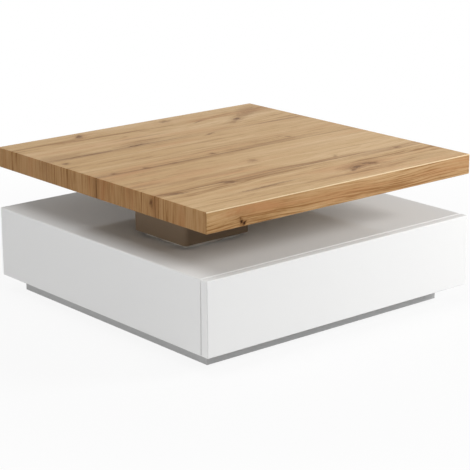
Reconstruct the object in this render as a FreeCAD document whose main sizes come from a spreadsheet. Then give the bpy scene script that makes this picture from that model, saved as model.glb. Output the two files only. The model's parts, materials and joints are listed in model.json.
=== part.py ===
import FreeCAD
import Part
import os
import re
import Sketcher
from FreeCAD import Rotation, Vector

# Swivel coffee table: a square board on an off-centre pedestal that turns on a ball turntable,
# above a low base box with one drawer on roller runners and a recessed plinth.
# Frame: origin on the floor under the middle, +Z up, drawer front towards -Y. Millimetres.

sizes = {
    "tableWidth": 800,
    "tableDepth": 800,
    "glideHeight": 3,
    "plinthHeight": 40,
    "baseHeight": 172,
    "boardThickness": 48,
    # base box
    "panelThickness": 18,
    "frontThickness": 22,
    "frontGap": 2,
    "frontRounding": 1,
    "dowelDiameter": 8,
    "dowelInSide": 11,
    "dowelInBottom": 19,
    "dowelSpacing": 300,
    # plinth
    "plinthInsetSide": 45,
    "plinthInsetFront": 58,
    "plinthInsetBack": 32,
    "plinthThickness": 18,
    "cornerBlock": 50,
    "glideDiameter": 24,
    "glidePinDiameter": 4,
    "glidePinLength": 15,
    "glideInset": 17,
    "plinthScrewInset": 34,
    "plinthScrewDiameter": 5,
    "plinthScrewHead": 9,
    "plinthScrewGrip": 12,
    # turntable
    "pivotFromSide": 200,
    "pivotFromFront": 302,
    "turntableHeight": 9.4,
    "footPlateThickness": 1.2,
    "footPlateInset": 7,
    "footPlateRounding": 6,
    "ringOuterRadius": 83,
    "outerRingWidth": 13.9,
    "innerRingWidth": 18.9,
    "ringGap": 1.2,
    "ringStep": 1,
    "ringChamfer": 0.8,
    "ballDiameter": 5,
    "bearingPlay": 0.05,
    "ballCount": 10,
    "cageThickness": 0.6,
    "cageHeight": 7,
    "cageHolePlay": 0.1,
    "boltDiameter": 5,
    "boltHead": 10,
    "boltHeadHeight": 3.5,
    "boltGrip": 6,
    "boltCount": 4,
    "ringScrewDiameter": 4.5,
    "ringScrewHead": 8.5,
    "ringScrewGrip": 12,
    # pedestal
    "pedestalHeight": 91.4,
    "pedestalOverhang": 12,
    "pedestalRounding": 12,
    "pedestalWall": 16,
    "pedestalPlate": 18,
    "handHoleMargin": 13,
    "pedestalScrewSpacing": 100,
    "pedestalScrewDiameter": 6,
    "pedestalScrewHead": 12,
    "pedestalScrewHeadHeight": 4,
    "pedestalScrewGrip": 10,
    # board
    "skinThickness": 16,
    "underPanelThickness": 8,
    "mountBoardSide": 260,
    "battenWidth": 40,
    # drawer
    "drawerDepth": 450,
    "drawerRearGap": 28,
    "drawerSideThickness": 12,
    "drawerSideHeight": 110,
    "drawerLift": 12,
    "drawerBottomThickness": 4,
    "drawerBottomRise": 10,
    "grooveDepth": 6,
    "groovePlay": 0.1,
    "frontScrewDiameter": 4,
    "frontScrewHead": 8,
    "frontScrewHeadHeight": 2.5,
    "frontScrewGrip": 15,
    "frontScrewSpacingX": 560,
    "frontScrewSpacingZ": 56,
    # roller runners
    "runnerClearance": 12.5,
    "runnerSheet": 1.2,
    "runnerFlange": 10.5,
    "runnerSetback": 2,
    "runnerRearGap": 6,
    "runnerRise": 1,
    "slideFlange": 9,
    "channelPlay": 0.55,
    "rollerDiameter": 20,
    "rollerWidth": 7,
    "rollerInset": 16,
    "rollerPlay": 0.05,
    "rollerLift": 0.6,
    "rollerSidePlay": 0.3,
    "axleDiameter": 5,
    "axleHead": 8,
    "axleHeadHeight": 0.8,
    "runnerScrewDiameter": 3.5,
    "runnerScrewHead": 6,
    "runnerScrewGrip": 9,
    "runnerScrewSpacing": 300,
    # clearance round every screw and pin in its hole
    "holePlay": 0.05,
}

doc = FreeCAD.newDocument("swivel_coffee_table")
sheet = doc.addObject("Spreadsheet::Sheet", "Sizes")
for row, (alias, size) in enumerate(sizes.items(), start=1):
    sheet.set(f"A{row}", alias)
    sheet.set(f"B{row}", str(size))
    sheet.setAlias(f"B{row}", alias)
doc.recompute()

subParts = {}


# Building helpers

def link(formula):
    # size names become references to the sheet
    return re.sub(r"[A-Za-z]\w*", lambda word: f"Sizes.{word[0]}" if word[0] in sizes else word[0], formula)


def number(formula):
    return float(sheet.evalExpression(link(formula)))


def bind(thing, formulas):
    for prop, formula in formulas.items():
        thing.setExpression(prop, link(formula))
    return thing


def place(thing, base, turn=None):
    if turn is not None:
        thing.Placement = FreeCAD.Placement(Vector(), turn)
    return bind(thing, {f"Placement.Base.{axis}": formula for axis, formula in zip("xyz", base)})


def keep(label, thing):
    # the finished sub-part, named as a person would name it
    thing.Label = label
    subParts[label] = thing
    return thing


def board(name, x, y, z):
    # a rectangular board between two limits on each axis
    thing = doc.addObject("Part::Box", name)
    for prop, (low, high) in (("Length", x), ("Width", y), ("Height", z)):
        bind(thing, {prop: f"({high}) - ({low})"})
    return place(thing, (x[0], y[0], z[0]))


def flip(limits):
    return f"-({limits[1]})", f"-({limits[0]})"


def mitred(name, axis, along, first, second):
    # a board whose end rectangles differ, as mitred boards do: first at the low end of axis,
    # second at the high end; each gives its limits on the other two axes, in X, Y, Z order
    turns = {"X": Rotation(Vector(0, 0, 1), -90), "Y": Rotation(), "Z": Rotation(Vector(1, 0, 0), 90)}
    if axis == "X":
        first, second = [(flip(u), v) for u, v in (first, second)]
    if axis == "Z":
        first, second = [(u, flip(v)) for u, v in (first, second)]
    thing = doc.addObject("Part::Wedge", name)
    thing.Placement = FreeCAD.Placement(Vector(), turns[axis])
    (xLimits, zLimits), (x2Limits, z2Limits) = first, second
    for stem, limits in (("X", xLimits), ("Y", along), ("Z", zLimits), ("X2", x2Limits), ("Z2", z2Limits)):
        bind(thing, {stem + "min": limits[0], stem + "max": limits[1]})
    return thing


def cylinder(name, diameter, height, base, turn):
    thing = doc.addObject("Part::Cylinder", name)
    bind(thing, {"Radius": f"({diameter}) / 2", "Height": height})
    return place(thing, base, turn)


facing = {
    "+X": (Vector(1, 0, 0), Rotation(Vector(0, 1, 0), 90)),
    "-X": (Vector(-1, 0, 0), Rotation(Vector(0, 1, 0), -90)),
    "-Y": (Vector(0, -1, 0), Rotation(Vector(1, 0, 0), 90)),
    "+Z": (Vector(0, 0, 1), Rotation()),
}


def shifted(base, way, distance):
    return tuple(f"({start}) + {step} * ({distance})" for start, step in zip(base, facing[way][0]))


def fastener(name, way, base, diameter, length, head, headHeight, sunk, play="0"):
    # a headed pin pointing along way: base is where the head's outer face lies, sunk heads are conical
    turn = facing[way][1]
    shank = cylinder(name + "_shank", f"{diameter} + 2 * {play}", f"{length} + {play}", base, turn)
    if sunk:
        cap = doc.addObject("Part::Cone", name + "_head")
        bind(cap, {"Radius1": f"{head} / 2 + {play}", "Radius2": f"{diameter} / 2 + {play}"})
        bind(cap, {"Height": headHeight})
        place(cap, base, turn)
    else:
        cap = cylinder(name + "_head", f"{head} + 2 * {play}", headHeight, base, turn)
    whole = doc.addObject("Part::Fuse", name)
    whole.Base = cap
    whole.Tool = shank
    whole.Refine = True
    return whole


def group(label, things):
    # identical small pieces that share one node, each a solid of its own
    thing = doc.addObject("Part::Compound", label + "_group")
    thing.Links = things
    return keep(label, thing)


def drilled(name, base, cutters):
    tool = cutters[0]
    if len(cutters) > 1:
        tool = doc.addObject("Part::Compound", name + "_cutters")
        tool.Links = cutters
    thing = doc.addObject("Part::Cut", name)
    thing.Base = base
    thing.Tool = tool
    return thing


def originPlane(body, role):
    return next(feature for feature in body.Origin.OriginFeatures if feature.Role == role)


def newBody(name, base=("0", "0", "0")):
    return place(doc.addObject("PartDesign::Body", name), base)


def constrain(sketch, kind, geometry, formula):
    # a point on an axis is held on it, any other by its distance
    if number(formula) == 0:
        axis = -2 if kind == "DistanceX" else -1
        sketch.addConstraint(Sketcher.Constraint("PointOnObject", geometry, 1, axis))
        return
    index = sketch.addConstraint(Sketcher.Constraint(kind, -1, 1, geometry, 1, number(formula)))
    sketch.setExpression(f"Constraints[{index}]", link(formula))


def outline(body, role, points, name):
    # a closed outline of straight edges through the given points
    sketch = body.newObject("Sketcher::SketchObject", name)
    sketch.AttachmentSupport = [(originPlane(body, role), "")]
    sketch.MapMode = "FlatFace"
    corners = [Vector(number(u), number(v), 0) for u, v in points]
    count = len(corners)
    for index in range(count):
        sketch.addGeometry(Part.LineSegment(corners[index], corners[(index + 1) % count]))
    for index in range(count):
        sketch.addConstraint(Sketcher.Constraint("Coincident", index, 2, (index + 1) % count, 1))
    for index, (u, v) in enumerate(points):
        constrain(sketch, "DistanceX", index, u)
        constrain(sketch, "DistanceY", index, v)
    return sketch


def square(half):
    return [(f"-({half})", f"-({half})"), (half, f"-({half})"), (half, half), (f"-({half})", half)]


def padded(body, sketch, length, reverse=False):
    pad = body.newObject("PartDesign::Pad", body.Name + "_pad")
    pad.Profile = sketch
    pad.Reversed = reverse
    return bind(pad, {"Length": length})


def ring(name, points, base):
    # a turned ring about an upright axis through base; points are (radius, height)
    body = newBody(name, base)
    turned = body.newObject("PartDesign::Revolution", name + "_turned")
    turned.Profile = outline(body, "XZ_Plane", points, name + "_section")
    turned.ReferenceAxis = (turned.Profile[0], ["V_Axis"])
    turned.Angle = 360
    return body


def roundEdges(body, base, radius, chooses):
    doc.recompute()
    names = [f"Edge{i}" for i, edge in enumerate(base.Shape.Edges, start=1) if chooses(edge)]
    fillet = body.newObject("PartDesign::Fillet", body.Name + "_rounding")
    fillet.Base = (base, names)
    return bind(fillet, {"Radius": radius})


def about(radius, angle):
    # a point at a radius and an angle from the swivel axis
    return f"{pivotX} + ({radius}) * cos({angle} * 1 deg)", f"{pivotY} + ({radius}) * sin({angle} * 1 deg)"


# Levels and limits that several pieces share

pivotX = "(-tableWidth / 2 + pivotFromSide)"
pivotY = "(-tableDepth / 2 + pivotFromFront)"
halfWidth = "tableWidth / 2"
halfDepth = "tableDepth / 2"
baseLow = "(glideHeight + plinthHeight)"
baseTop = f"({baseLow} + baseHeight)"
onBottom = f"({baseLow} + panelThickness)"
underTop = f"({baseTop} - panelThickness)"
innerHalf = "(tableWidth / 2 - panelThickness)"
frontBack = "(-tableDepth / 2 + frontThickness)"
carcassFront = f"({frontBack} + frontGap)"
drawerRear = f"({frontBack} + drawerDepth)"
ringLow = f"({baseTop} + footPlateThickness)"
pedestalLow = f"({ringLow} + turntableHeight)"
boardLow = f"({pedestalLow} + pedestalHeight)"
boardTop = f"({boardLow} + boardThickness)"

across = (f"-{innerHalf}", innerHalf)
carcassDepth = (carcassFront, halfDepth)


# Base box: mitred top and sides, bottom, back and an inner support board behind the drawer

dowelHeight = f"{baseLow} + panelThickness / 2"
dowels = []
dowelHoles = {"-X": [], "+X": []}
for way, edge in (("-X", f"-{innerHalf}"), ("+X", innerHalf)):
    for step in (-1, 0, 1):
        name = f"dowel{len(dowels)}"
        start = shifted((edge, f"{step} * dowelSpacing", dowelHeight), way, "-dowelInBottom")
        reach = "dowelInBottom + dowelInSide"
        dowels.append(cylinder(name, "dowelDiameter", reach, start, facing[way][1]))
        wide = shifted(start, way, "-holePlay")
        dowelHoles[way].append(cylinder(
            name + "_hole", "dowelDiameter + 2 * holePlay", f"{reach} + 2 * holePlay", wide, facing[way][1]))
group("carcass_dowels", dowels)

bottomBlank = board("carcass_bottom_blank", across, carcassDepth, (baseLow, onBottom))
topBlank = mitred("carcass_top_blank", "Z", (underTop, baseTop),
                  (across, carcassDepth), ((f"-{halfWidth}", halfWidth), carcassDepth))
fullSide = (carcassDepth, (baseLow, baseTop))
mitredSide = (carcassDepth, (baseLow, underTop))
sideBlanks = {
    "left": mitred("side_left_blank", "X", (f"-{halfWidth}", f"-{innerHalf}"), fullSide, mitredSide),
    "right": mitred("side_right_blank", "X", (innerHalf, halfWidth), mitredSide, fullSide),
}
betweenPanels = (onBottom, underTop)
backDepth = (f"{halfDepth} - panelThickness", halfDepth)
keep("carcass_back", board("back_panel", across, backDepth, betweenPanels))
supportFront = f"({drawerRear} + drawerRearGap)"
supportDepth = (supportFront, f"{supportFront} + panelThickness")
keep("partition", board("support", across, supportDepth, betweenPanels))


# Plinth: front and back rails run through, side rails between them, blocks in the corners

plinthHalf = "(tableWidth / 2 - plinthInsetSide)"
plinthFront = "(-tableDepth / 2 + plinthInsetFront)"
plinthBack = "(tableDepth / 2 - plinthInsetBack)"
railHeight = ("glideHeight", baseLow)
innerPlinth = f"({plinthHalf} - plinthThickness)"
innerFront = f"({plinthFront} + plinthThickness)"
innerBack = f"({plinthBack} - plinthThickness)"
throughRail = (f"-{plinthHalf}", plinthHalf)
keep("plinth_front", board("rail_front", throughRail, (plinthFront, innerFront), railHeight))
keep("plinth_back", board("rail_back", throughRail, (innerBack, plinthBack), railHeight))
betweenRails = (innerFront, innerBack)
keep("plinth_left", board("rail_left", (f"-{plinthHalf}", f"-{innerPlinth}"), betweenRails, railHeight))
keep("plinth_right", board("rail_right", (innerPlinth, plinthHalf), betweenRails, railHeight))

blocks = []
glides = []
plinthScrews = []
bottomHoles = dowelHoles["-X"] + dowelHoles["+X"]
plinthScrewLength = "plinthHeight + plinthScrewGrip"
sunkDepth = "(plinthScrewHead - plinthScrewDiameter) / 2"
for cornerX, inX in ((f"-{innerPlinth}", 1), (innerPlinth, -1)):
    for cornerY, inY in ((innerFront, 1), (innerBack, -1)):
        name = f"corner{len(blocks)}"
        x = tuple(sorted((cornerX, f"{cornerX} + {inX} * cornerBlock"), key=number))
        y = tuple(sorted((cornerY, f"{cornerY} + {inY} * cornerBlock"), key=number))
        blank = board(name + "_block", x, y, railHeight)
        glideAt = (f"{cornerX} + {inX} * glideInset", f"{cornerY} + {inY} * glideInset", "0")
        glide = fastener(name + "_glide", "+Z", glideAt, "glidePinDiameter", "glideHeight + glidePinLength",
                         "glideDiameter", "glideHeight", sunk=False)
        pinAt = (glideAt[0], glideAt[1], "glideHeight - holePlay")
        pinHole = cylinder(name + "_pin_hole", "glidePinDiameter + 2 * holePlay",
                           "glidePinLength + 2 * holePlay", pinAt, facing["+Z"][1])
        screwAt = (f"{cornerX} + {inX} * plinthScrewInset", f"{cornerY} + {inY} * plinthScrewInset",
                   "glideHeight")
        screwSizes = ("+Z", screwAt, "plinthScrewDiameter", plinthScrewLength, "plinthScrewHead",
                      sunkDepth, True)
        plinthScrews.append(fastener(name + "_screw", *screwSizes))
        screwHole = fastener(name + "_screw_hole", *screwSizes, play="holePlay")
        blocks.append(drilled(name, blank, [pinHole, screwHole]))
        glides.append(glide)
        bottomHoles.append(screwHole)
group("plinth_blocks", blocks)
group("glides", glides)
group("plinth_screws", plinthScrews)
keep("carcass_bottom", drilled("bottom_panel", bottomBlank, bottomHoles))


# Turntable: two aluminium rings with facing V grooves and a row of balls in a thin cage between them,
# on a thin square foot plate

grooveReach = "(ballDiameter / 2 + bearingPlay) * sqrt(2)"
grooveHalf = f"({grooveReach} - ringGap / 2)"
outerWall = "(ringOuterRadius - outerRingWidth)"
innerWall = f"({outerWall} - ringGap)"
ringInner = f"({innerWall} - innerRingWidth)"
ballPitch = f"({outerWall} - ringGap / 2)"
outerApex = f"({ballPitch} + {grooveReach})"
innerApex = f"({ballPitch} - {grooveReach})"
ballHeight = "(turntableHeight / 2)"
outerTop = "(turntableHeight - ringStep)"
turntableBase = (pivotX, pivotY, ringLow)
handHoleDiameter = f"2 * ({ringInner} - handHoleMargin)"


def upright(edge):
    return abs(edge.tangentAt(edge.FirstParameter).z) > 0.99


outerRing = ring("outer_ring", [
    (outerWall, "0"), ("ringOuterRadius", "0"),
    ("ringOuterRadius", f"{outerTop} - ringChamfer"), ("ringOuterRadius - ringChamfer", outerTop),
    (outerWall, outerTop), (outerWall, f"{ballHeight} + {grooveHalf}"),
    (outerApex, ballHeight), (outerWall, f"{ballHeight} - {grooveHalf}")], turntableBase)
innerRing = ring("inner_ring", [
    (ringInner, "ringStep"), (innerWall, "ringStep"),
    (innerWall, f"{ballHeight} - {grooveHalf}"), (innerApex, ballHeight),
    (innerWall, f"{ballHeight} + {grooveHalf}"),
    (innerWall, "turntableHeight"), (ringInner, "turntableHeight")], turntableBase)

footPlate = newBody("foot_plate", (pivotX, pivotY, baseTop))
footOutside = outline(footPlate, "XY_Plane", square("(ringOuterRadius - footPlateInset)"), "foot_outside")
footPad = padded(footPlate, footOutside, "footPlateThickness")
roundEdges(footPlate, footPad, "footPlateRounding", upright)

boltCircle = f"(ringOuterRadius + {outerApex}) / 2"
boltReach = "panelThickness + footPlateThickness + boltGrip"
bolts = []
boltHoles = []
for index in range(int(sizes["boltCount"])):
    name = f"bolt{index}"
    spot = about(boltCircle, f"(({index} + 0.5) * 360 / boltCount)")
    boltSizes = ("+Z", (*spot, f"{underTop} - boltHeadHeight"), "boltDiameter",
                 f"boltHeadHeight + {boltReach}", "boltHead", "boltHeadHeight", False)
    bolts.append(fastener(name, *boltSizes))
    boltHoles.append(cylinder(name + "_hole", "boltDiameter + 2 * holePlay",
                              f"{boltReach} + holePlay", (*spot, underTop), facing["+Z"][1]))
footHole = cylinder("foot_hole", handHoleDiameter, "footPlateThickness", (pivotX, pivotY, baseTop),
                    facing["+Z"][1])
group("turntable_bolts", bolts)
keep("turntable_plate", drilled("foot_plate_drilled", footPlate, [footHole] + boltHoles))
keep("turntable_outer_ring", drilled("outer_ring_drilled", outerRing, boltHoles))
keep("carcass_top", drilled("top_panel", topBlank, boltHoles))

ringScrewCircle = f"({ringInner} + {innerApex}) / 2"
ringScrewLength = "turntableHeight - ringStep + ringScrewGrip"
ringScrewSink = "(ringScrewHead - ringScrewDiameter) / 2"
ringScrews = []
ringScrewHoles = []
for angle in (45, 135, 225, 315):
    name = f"ring_screw{angle}"
    spot = (*about(ringScrewCircle, angle), f"{ringLow} + ringStep")
    screwSizes = ("+Z", spot, "ringScrewDiameter", ringScrewLength, "ringScrewHead", ringScrewSink, True)
    ringScrews.append(fastener(name, *screwSizes))
    ringScrewHoles.append(fastener(name + "_hole", *screwSizes, play="holePlay"))
group("turntable_screws", ringScrews)
keep("turntable_inner_ring", drilled("inner_ring_drilled", innerRing, ringScrewHoles))

cageInner = f"({ballPitch} - cageThickness / 2)"
cageOuter = f"({ballPitch} + cageThickness / 2)"
cageLow = f"({ballHeight} - cageHeight / 2)"
cageHigh = f"({ballHeight} + cageHeight / 2)"
cageBlank = ring("cage_band", [(cageInner, cageLow), (cageOuter, cageLow), (cageOuter, cageHigh),
                               (cageInner, cageHigh)], turntableBase)
balls = []
ballPockets = []
for index in range(int(sizes["ballCount"])):
    angle = f"(({index} + 0.5) * 360 / ballCount)"
    ball = bind(doc.addObject("Part::Sphere", f"ball{index}"), {"Radius": "ballDiameter / 2"})
    balls.append(place(ball, (*about(ballPitch, angle), f"{ringLow} + {ballHeight}")))
    outwards = Rotation(Vector(0, 0, 1), number(angle)).multiply(facing["+X"][1])
    start = (*about(f"{ballPitch} - cageThickness", angle), f"{ringLow} + {ballHeight}")
    ballPockets.append(cylinder(f"ball_pocket{index}", "ballDiameter + 2 * cageHolePlay", "2 * cageThickness",
                                start, outwards))
group("bearing_balls", balls)
keep("ball_cage", drilled("cage_band_pierced", cageBlank, ballPockets))


# Pedestal: a hollow block with rounded corners, closed by a plate at each end

pedestalHalf = "(ringOuterRadius + pedestalOverhang)"
pedestalInner = f"({pedestalHalf} - pedestalWall)"
shell = newBody("shell", (pivotX, pivotY, pedestalLow))
shellOutside = outline(shell, "XY_Plane", square(pedestalHalf), "shell_outside")
shellPad = padded(shell, shellOutside, "pedestalHeight")
roundEdges(shell, shellPad, "pedestalRounding", upright)
hollow = shell.newObject("PartDesign::Pocket", "shell_hollow")
hollow.Profile = outline(shell, "XY_Plane", square(pedestalInner), "shell_inside")
hollow.Reversed = True
bind(hollow, {"Length": "pedestalHeight"})
keep("pedestal_shell", shell)

insideX = (f"{pivotX} - {pedestalInner}", f"{pivotX} + {pedestalInner}")
insideY = (f"{pivotY} - {pedestalInner}", f"{pivotY} + {pedestalInner}")
bottomPlate = board("bottom_plate_blank", insideX, insideY, (pedestalLow, f"{pedestalLow} + pedestalPlate"))
handHole = cylinder("hand_hole", handHoleDiameter, "pedestalPlate", (pivotX, pivotY, pedestalLow),
                    facing["+Z"][1])
keep("pedestal_bottom_plate", drilled("bottom_plate", bottomPlate, [handHole] + ringScrewHoles))

topPlateLow = f"({boardLow} - pedestalPlate)"
topPlate = board("top_plate_blank", insideX, insideY, (topPlateLow, boardLow))
pedestalScrews = []
pedestalScrewHoles = []
for stepX in (-0.5, 0.5):
    for stepY in (-0.5, 0.5):
        name = f"pedestal_screw{len(pedestalScrews)}"
        spot = (f"{pivotX} + {stepX} * pedestalScrewSpacing", f"{pivotY} + {stepY} * pedestalScrewSpacing")
        through = "pedestalPlate + underPanelThickness + pedestalScrewGrip"
        pedestalScrews.append(fastener(
            name, "+Z", (*spot, f"{topPlateLow} - pedestalScrewHeadHeight"), "pedestalScrewDiameter",
            f"pedestalScrewHeadHeight + {through}", "pedestalScrewHead", "pedestalScrewHeadHeight",
            sunk=False))
        pedestalScrewHoles.append(cylinder(
            name + "_hole", "pedestalScrewDiameter + 2 * holePlay", f"{through} + holePlay",
            (*spot, topPlateLow), facing["+Z"][1]))
group("pedestal_screws", pedestalScrews)
keep("pedestal_top_plate", drilled("top_plate", topPlate, pedestalScrewHoles))


# Board: a skin and four edge strips folded round it with mitres, a thin panel below, wood between

skinLow = f"({boardTop} - skinThickness)"
innerX = ("-tableWidth / 2 + skinThickness", "tableWidth / 2 - skinThickness")
innerY = ("-tableDepth / 2 + skinThickness", "tableDepth / 2 - skinThickness")
outerX = (f"-{halfWidth}", halfWidth)
outerY = (f"-{halfDepth}", halfDepth)
outerZ = (boardLow, boardTop)
innerZ = (boardLow, skinLow)
keep("top_skin", mitred("skin", "Z", (skinLow, boardTop), (innerX, innerY), (outerX, outerY)))
keep("edge_front", mitred("strip_front", "Y", (outerY[0], innerY[0]), (outerX, outerZ), (innerX, innerZ)))
keep("edge_back", mitred("strip_back", "Y", (innerY[1], outerY[1]), (innerX, innerZ), (outerX, outerZ)))
keep("edge_left", mitred("strip_left", "X", (outerX[0], innerX[0]), (outerY, outerZ), (innerY, innerZ)))
keep("edge_right", mitred("strip_right", "X", (innerX[1], outerX[1]), (innerY, innerZ), (outerY, outerZ)))

coreLow = f"({boardLow} + underPanelThickness)"
coreHeight = (coreLow, skinLow)
underBlank = board("under_panel_blank", innerX, innerY, (boardLow, coreLow))
keep("underside_panel", drilled("under_panel", underBlank, pedestalScrewHoles))
mountX = (f"{pivotX} - mountBoardSide / 2", f"{pivotX} + mountBoardSide / 2")
mountY = (f"{pivotY} - mountBoardSide / 2", f"{pivotY} + mountBoardSide / 2")
mountBlank = board("mount_board_blank", mountX, mountY, coreHeight)
keep("mount_board", drilled("mount_board_drilled", mountBlank, pedestalScrewHoles))

battenInX = (f"{innerX[0]} + battenWidth", f"{innerX[1]} - battenWidth")
battenInY = (f"{innerY[0]} + battenWidth", f"{innerY[1]} - battenWidth")
besidePivotX = (f"{pivotX} - battenWidth / 2", f"{pivotX} + battenWidth / 2")
besidePivotY = (f"{pivotY} - battenWidth / 2", f"{pivotY} + battenWidth / 2")
battenPlan = [
    (innerX, (innerY[0], battenInY[0])),
    (innerX, (battenInY[1], innerY[1])),
    ((innerX[0], battenInX[0]), battenInY),
    ((battenInX[1], innerX[1]), battenInY),
    ((mountX[1], battenInX[1]), besidePivotY),
    (besidePivotX, (mountY[1], battenInY[1])),
]
group("top_battens", [board(f"batten{i}", x, y, coreHeight) for i, (x, y) in enumerate(battenPlan)])


# Drawer: a box with its own front board, and the white front screwed to it from inside

drawerLow = f"({onBottom} + drawerLift)"
drawerHigh = f"({drawerLow} + drawerSideHeight)"
drawerHalf = f"({innerHalf} - runnerClearance)"
drawerInner = f"({drawerHalf} - drawerSideThickness)"
drawerLength = (frontBack, drawerRear)
boxFrontBack = f"({frontBack} + drawerSideThickness)"
bottomLow = f"({drawerLow} + drawerBottomRise)"
bottomHigh = f"({bottomLow} + drawerBottomThickness)"
grooveX = f"({drawerInner} + grooveDepth)"
grooveFront = f"({boxFrontBack} - grooveDepth)"
grooveCut = board("drawer_groove", (f"-{grooveX} - groovePlay", f"{grooveX} + groovePlay"),
                  (f"{grooveFront} - groovePlay", f"{drawerRear} + groovePlay"),
                  (f"{bottomLow} - groovePlay", f"{bottomHigh} + groovePlay"))
keep("drawer_bottom", board("bottom_sheet", (f"-{grooveX}", grooveX), (grooveFront, drawerRear),
                            (bottomLow, bottomHigh)))
insideDrawer = (f"-{drawerInner}", drawerInner)
keep("drawer_back", board("rear_board", insideDrawer, (f"{drawerRear} - drawerSideThickness", drawerRear),
                          (f"{bottomHigh} + groovePlay", drawerHigh)))
boxFrontBlank = board("box_front_blank", insideDrawer, (frontBack, boxFrontBack), (drawerLow, drawerHigh))

front = newBody("front", ("0", frontBack, "0"))
frontPad = padded(front, outline(front, "XZ_Plane", [
    (f"-{halfWidth}", baseLow), (halfWidth, baseLow), (halfWidth, baseTop), (f"-{halfWidth}", baseTop)],
    "front_outline"), "frontThickness")


def onFrontFace(edge):
    return edge.BoundBox.YMax < -number("frontThickness") + 0.01


roundEdges(front, frontPad, "frontRounding", onFrontFace)

frontScrews = []
frontScrewHoles = []
frontScrewMiddle = f"({bottomHigh} + {drawerHigh}) / 2"
for stepX in (-0.5, 0.5):
    for stepZ in (-0.5, 0.5):
        name = f"front_screw{len(frontScrews)}"
        x = f"{stepX} * frontScrewSpacingX"
        z = f"{frontScrewMiddle} + {stepZ} * frontScrewSpacingZ"
        through = "drawerSideThickness + frontScrewGrip"
        frontScrews.append(fastener(
            name, "-Y", (x, f"{boxFrontBack} + frontScrewHeadHeight", z), "frontScrewDiameter",
            f"frontScrewHeadHeight + {through}", "frontScrewHead", "frontScrewHeadHeight", sunk=False))
        frontScrewHoles.append(cylinder(
            name + "_hole", "frontScrewDiameter + 2 * holePlay", f"{through} + holePlay",
            (x, boxFrontBack, z), facing["-Y"][1]))
group("drawer_front_screws", frontScrews)
keep("drawer_front", drilled("front_drilled", front, frontScrewHoles))
keep("drawer_box_front", drilled("box_front", boxFrontBlank, [grooveCut] + frontScrewHoles))


# Roller runners: a channel on each cabinet side, a folded strip under each drawer side,
# one roller fixed at the front of the channel and one at the rear of the strip

channelLow = f"({drawerLow} + runnerRise)"
flangeLow = f"({channelLow} + rollerLift + rollerDiameter + rollerPlay)"
flangeHigh = f"({flangeLow} + runnerSheet)"
channelHigh = f"({flangeHigh} + channelPlay)"
channelFront = f"({carcassFront} + runnerSetback)"
channelLength = f"({drawerRear} - runnerRearGap - {channelFront})"
frontAxleY = f"({channelFront} + rollerInset)"
frontAxleZ = f"({channelLow} + rollerLift + rollerDiameter / 2)"
rearAxleY = f"({drawerRear} - rollerInset)"
rearAxleZ = f"({channelLow} + rollerPlay + rollerDiameter / 2)"
channelWeb = f"({innerHalf} - runnerSheet)"
stripWeb = f"({drawerHalf} + runnerSheet)"
axleReach = "rollerWidth + 2 * rollerSidePlay"

cabinetScrews, drawerScrews = [], []
frontRollers, rearRollers, frontAxles, rearAxles = [], [], [], []


def roller(name, way, base):
    # a plain nylon roller, free on its axle; base is the face of the sheet that carries the axle
    start = shifted(base, way, "rollerSidePlay")
    wheel = cylinder(name + "_wheel", "rollerDiameter", "rollerWidth", start, facing[way][1])
    bore = cylinder(name + "_bore", "axleDiameter + 2 * rollerPlay", "rollerWidth", start, facing[way][1])
    return drilled(name, wheel, [bore])


def axle(name, way, base):
    # a rivet that stands out of the sheet, with its head beyond the roller
    back = {"+X": "-X", "-X": "+X"}[way]
    end = shifted(base, way, f"{axleReach} + axleHeadHeight")
    return fastener(name, back, end, "axleDiameter", f"{axleReach} + axleHeadHeight", "axleHead",
                    "axleHeadHeight", sunk=False)


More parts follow.
